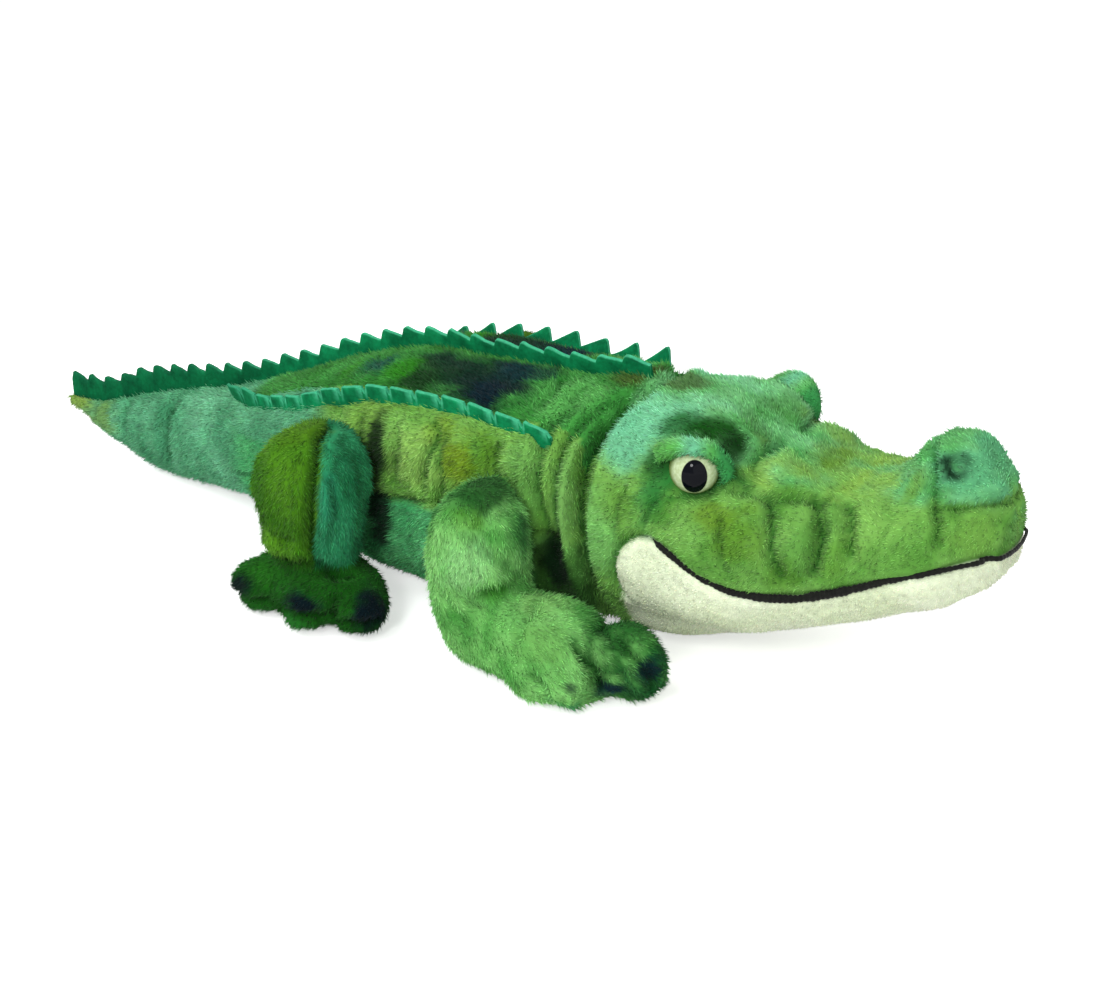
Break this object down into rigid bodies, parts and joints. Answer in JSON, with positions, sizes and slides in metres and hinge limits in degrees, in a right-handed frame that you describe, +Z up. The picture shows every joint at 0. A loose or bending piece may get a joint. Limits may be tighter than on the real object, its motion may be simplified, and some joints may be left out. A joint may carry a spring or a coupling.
{
  "type": "plush crocodile",
  "caption": "Stuffed toy crocodile lying on its belly, with felt crests, plastic eyes, a stitched mouth and a jointed head, tail and legs.",
  "frame": {"origin": "on the floor, under the middle of the toy's length and width", "axes": "+X along the body toward the snout, +Y to the toy's own left, +Z up"},
  "size_m": [0.46, 0.187, 0.106],
  "materials": {
    "back_plush": "short-pile plush, near-black and dark green blotches on green",
    "flank_plush": "short-pile plush, light yellow-green",
    "belly_plush": "short-pile plush, teal green",
    "tail_plush": "short-pile plush, muted blue-green with lighter blotches",
    "crown_plush": "short-pile plush, teal",
    "cheek_plush": "short-pile plush, olive to mid green",
    "leg_plush": "short-pile plush, mid green",
    "foot_plush": "short-pile plush, dark green",
    "jaw_plush": "short smooth plush, cream",
    "crest_felt": "stiff pressed felt, emerald green",
    "black_thread": "thick black embroidery thread",
    "eye_plastic": "polished, cream iris and black pupil under a clear dome",
    "washer_plastic": "moulded, natural white",
    "filling_fibre": "loose white polyester fibre"
  },
  "bodies": {
    "torso": {"back_panel_left": "back_plush", "back_panel_right": "back_plush", "flank_panel_left": "flank_plush", "flank_panel_right": "flank_plush", "belly_panel": "belly_plush", "torso_filling": "filling_fibre", "back_crest": "crest_felt", "side_crest_left": "crest_felt", "side_crest_right": "crest_felt"},
    "neck": {"neck_roll": "cheek_plush", "neck_filling": "filling_fibre"},
    "head": {"crown_panel": "crown_plush", "cheek_panel_left": "cheek_plush", "cheek_panel_right": "cheek_plush", "throat_panel": "cheek_plush", "jaw_panel": "jaw_plush", "head_filling": "filling_fibre", "mouth_cord": "black_thread", "nose_knob": "crown_plush", "nostril_left": "black_thread", "nostril_right": "black_thread", "eye_left": "eye_plastic", "eye_right": "eye_plastic", "eye_washer_left": "washer_plastic", "eye_washer_right": "washer_plastic", "eyelid_left": "leg_plush", "eyelid_right": "leg_plush"},
    "tail_front": {"tail_front_skin_left": "tail_plush", "tail_front_skin_right": "tail_plush", "tail_front_filling": "filling_fibre", "tail_front_crest": "crest_felt"},
    "tail_tip": {"tail_rear_skin_left": "tail_plush", "tail_rear_skin_right": "tail_plush", "tail_rear_filling": "filling_fibre", "tail_rear_crest": "crest_felt"},
    "foreleg_left": {"foreleg_skin_left": "leg_plush", "foreleg_filling_left": "filling_fibre"},
    "foreleg_right": {"foreleg_skin_right": "leg_plush", "foreleg_filling_right": "filling_fibre"},
    "hindleg_left": {"hindleg_front_skin_left": "leg_plush", "hindleg_rear_skin_left": "leg_plush", "hindleg_filling_left": "filling_fibre", "foot_skin_left": "foot_plush", "foot_filling_left": "filling_fibre"},
    "hindleg_right": {"hindleg_front_skin_right": "leg_plush", "hindleg_rear_skin_right": "leg_plush", "hindleg_filling_right": "filling_fibre", "foot_skin_right": "foot_plush", "foot_filling_right": "filling_fibre"}
  },
  "joints": [
    {"name": "head_turn", "type": "hinge", "parent": "torso", "child": "neck", "pos_m": [0.109, 0, 0.048], "axis": [0, 0, 1], "range_deg": [-18, 18], "stiffness_Nm_per_rad": 0.8},
    {"name": "head_nod", "type": "hinge", "parent": "neck", "child": "head", "pos_m": [0.109, 0, 0.048], "axis": [0, -1, 0], "range_deg": [-6, 12], "stiffness_Nm_per_rad": 1.2},
    {"name": "tail_root_bend", "type": "hinge", "parent": "torso", "child": "tail_front", "pos_m": [-0.12912, 0, 0.03], "axis": [0, 0, 1], "range_deg": [-20, 20], "stiffness_Nm_per_rad": 0.2},
    {"name": "tail_tip_bend", "type": "hinge", "parent": "tail_front", "child": "tail_tip", "pos_m": [-0.16303, 0, 0.03], "axis": [0, 0, 1], "range_deg": [-25, 25], "stiffness_Nm_per_rad": 0.1},
    {"name": "foreleg_swing_left", "type": "hinge", "parent": "torso", "child": "foreleg_left", "pos_m": [0.062, 0.052, 0.046], "axis": [0, -1, 0], "range_deg": [-20, 8], "stiffness_Nm_per_rad": 0.4},
    {"name": "foreleg_swing_right", "type": "hinge", "parent": "torso", "child": "foreleg_right", "pos_m": [0.062, -0.052, 0.046], "axis": [0, -1, 0], "range_deg": [-20, 8], "stiffness_Nm_per_rad": 0.4},
    {"name": "hindleg_swing_left", "type": "hinge", "parent": "torso", "child": "hindleg_left", "pos_m": [-0.013, 0.052, 0.048], "axis": [0, -1, 0], "range_deg": [-20, 20], "stiffness_Nm_per_rad": 0.4},
    {"name": "hindleg_swing_right", "type": "hinge", "parent": "torso", "child": "hindleg_right", "pos_m": [-0.013, -0.052, 0.048], "axis": [0, -1, 0], "range_deg": [-20, 20], "stiffness_Nm_per_rad": 0.4}
  ]
}
